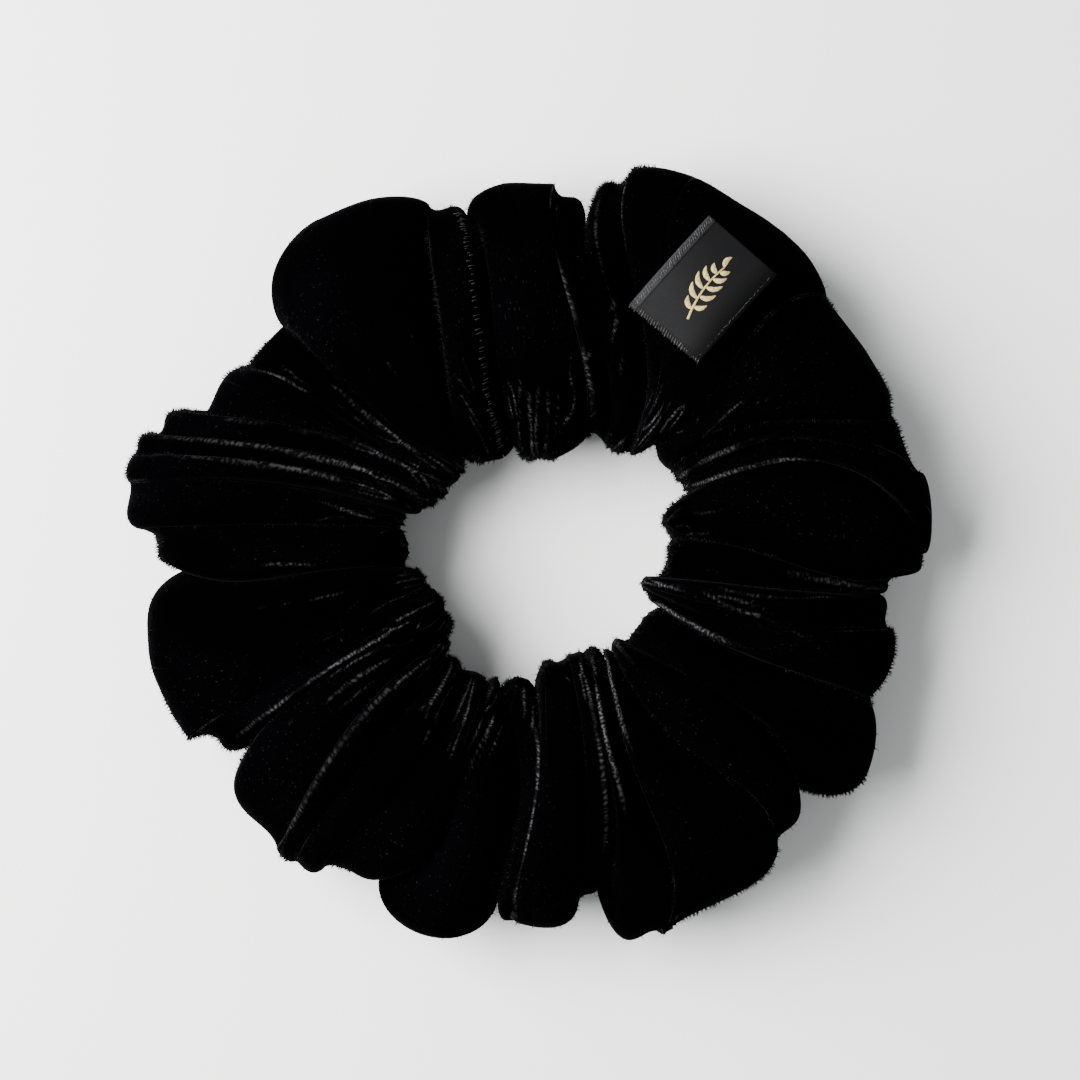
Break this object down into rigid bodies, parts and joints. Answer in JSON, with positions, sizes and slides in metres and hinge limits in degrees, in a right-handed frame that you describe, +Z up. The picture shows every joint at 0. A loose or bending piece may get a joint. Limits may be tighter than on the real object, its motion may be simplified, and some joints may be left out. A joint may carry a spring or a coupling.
{
  "type": "scrunchie",
  "caption": "Velvet hair scrunchie: a gathered velvet tube on a sewn elastic ring, with a small satin label, that stretches open and springs back.",
  "frame": {"origin": "on the surface it lies on, under the middle of the ring's bounding box", "axes": "+Z up out of the ring, +Y towards the closing seam's side and +X to the right as the label reads"},
  "size_m": [0.113, 0.1072, 0.0265],
  "materials": {
    "velvet": "matte",
    "thread": "satin",
    "elastic": "matte",
    "label_satin": "satin",
    "gold_thread": "satin"
  },
  "bodies": {
    "gather_01": {"velvet_gather_01": "velvet", "seam_thread_01": "thread"},
    "gather_02": {"velvet_gather_02": "velvet", "seam_thread_02": "thread"},
    "gather_03": {"velvet_gather_03": "velvet", "seam_thread_03": "thread"},
    "gather_04": {"velvet_gather_04": "velvet", "seam_thread_04": "thread"},
    "gather_05": {"velvet_gather_05": "velvet", "seam_thread_05": "thread"},
    "gather_06": {"velvet_gather_06": "velvet", "seam_thread_06": "thread"},
    "gather_07": {"velvet_gather_07": "velvet", "seam_thread_07": "thread"},
    "gather_08": {"velvet_gather_08": "velvet", "seam_thread_08": "thread", "elastic_band": "elastic", "elastic_join_thread": "thread"},
    "gather_09": {"velvet_gather_09": "velvet", "seam_thread_09": "thread"},
    "gather_10": {"velvet_gather_10": "velvet", "seam_thread_10": "thread"},
    "gather_11": {"velvet_gather_11": "velvet", "seam_thread_11": "thread"},
    "gather_12": {"velvet_gather_12": "velvet", "seam_thread_12": "thread"},
    "gather_13": {"velvet_gather_13": "velvet", "seam_thread_13": "thread", "satin_label": "label_satin", "label_thread_outer": "thread", "label_thread_inner": "thread", "label_motif": "gold_thread"},
    "seam_right": {"closing_hem_right": "velvet", "closing_seam_thread": "thread"},
    "seam_left": {"closing_hem_left": "velvet"}
  },
  "joints": [
    {"name": "stretch", "type": "slide", "parent": "gather_08", "child": "gather_09", "axis": [0.9608, 0.2773, 0], "range_m": [0, 0.0161], "stiffness_N_per_m": 622.8, "deforming": ["elastic_band"]},
    {"name": "stretch_gather_10", "type": "slide", "parent": "gather_09", "child": "gather_10", "axis": [0.7218, 0.6921, 0], "range_m": [0, 0.01647], "stiffness_N_per_m": 609.7},
    {"name": "stretch_gather_11", "type": "slide", "parent": "gather_10", "child": "gather_11", "axis": [0.3963, 0.9181, 0], "range_m": [0, 0.01048], "stiffness_N_per_m": 958.7},
    {"name": "stretch_gather_12", "type": "slide", "parent": "gather_11", "child": "gather_12", "axis": [-0.0153, 0.9999, 0], "range_m": [0, 0.01804], "stiffness_N_per_m": 556.3},
    {"name": "stretch_gather_13", "type": "slide", "parent": "gather_12", "child": "gather_13", "axis": [-0.6129, 0.7902, 0], "range_m": [0, 0.02499], "stiffness_N_per_m": 401.6},
    {"name": "stretch_gather_01", "type": "slide", "parent": "gather_13", "child": "gather_01", "axis": [-0.9667, 0.2559, 0], "range_m": [0, 0.01856], "stiffness_N_per_m": 540.9},
    {"name": "stretch_seam_right", "type": "slide", "parent": "gather_01", "child": "seam_right", "axis": [-0.9914, -0.1305, 0], "range_m": [0, 0.00772]},
    {"name": "stretch_gather_07", "type": "slide", "parent": "gather_08", "child": "gather_07", "axis": [-0.9934, 0.1145, 0], "range_m": [0, 0.01062], "stiffness_N_per_m": 945.5},
    {"name": "stretch_gather_06", "type": "slide", "parent": "gather_07", "child": "gather_06", "axis": [-0.8794, 0.476, 0], "range_m": [0, 0.01517], "stiffness_N_per_m": 662},
    {"name": "stretch_gather_05", "type": "slide", "parent": "gather_06", "child": "gather_05", "axis": [-0.541, 0.841, 0], "range_m": [0, 0.0187], "stiffness_N_per_m": 536.8},
    {"name": "stretch_gather_04", "type": "slide", "parent": "gather_05", "child": "gather_04", "axis": [-0.0506, 0.9987, 0], "range_m": [0, 0.01635], "stiffness_N_per_m": 614},
    {"name": "stretch_gather_03", "type": "slide", "parent": "gather_04", "child": "gather_03", "axis": [0.3738, 0.9275, 0], "range_m": [0, 0.01293], "stiffness_N_per_m": 776.5},
    {"name": "stretch_gather_02", "type": "slide", "parent": "gather_03", "child": "gather_02", "axis": [0.7136, 0.7006, 0], "range_m": [0, 0.01488], "stiffness_N_per_m": 674.8},
    {"name": "stretch_seam_left", "type": "slide", "parent": "gather_02", "child": "seam_left", "axis": [0.921, 0.3895, 0], "range_m": [0, 0.01057]}
  ],
  "couplings": [
    {"joint": "stretch_gather_10", "follows": "stretch", "ratio": 1.0215},
    {"joint": "stretch_gather_11", "follows": "stretch", "ratio": 0.64959},
    {"joint": "stretch_gather_12", "follows": "stretch", "ratio": 1.1195},
    {"joint": "stretch_gather_13", "follows": "stretch", "ratio": 1.5509},
    {"joint": "stretch_gather_01", "follows": "stretch", "ratio": 1.1514},
    {"joint": "stretch_seam_right", "follows": "stretch", "ratio": 0.47798},
    {"joint": "stretch_gather_07", "follows": "stretch", "ratio": 0.65869},
    {"joint": "stretch_gather_06", "follows": "stretch", "ratio": 0.94083},
    {"joint": "stretch_gather_05", "follows": "stretch", "ratio": 1.1603},
    {"joint": "stretch_gather_04", "follows": "stretch", "ratio": 1.0143},
    {"joint": "stretch_gather_03", "follows": "stretch", "ratio": 0.80203},
    {"joint": "stretch_gather_02", "follows": "stretch", "ratio": 0.92286},
    {"joint": "stretch_seam_left", "follows": "stretch", "ratio": 0.65505}
  ]
}
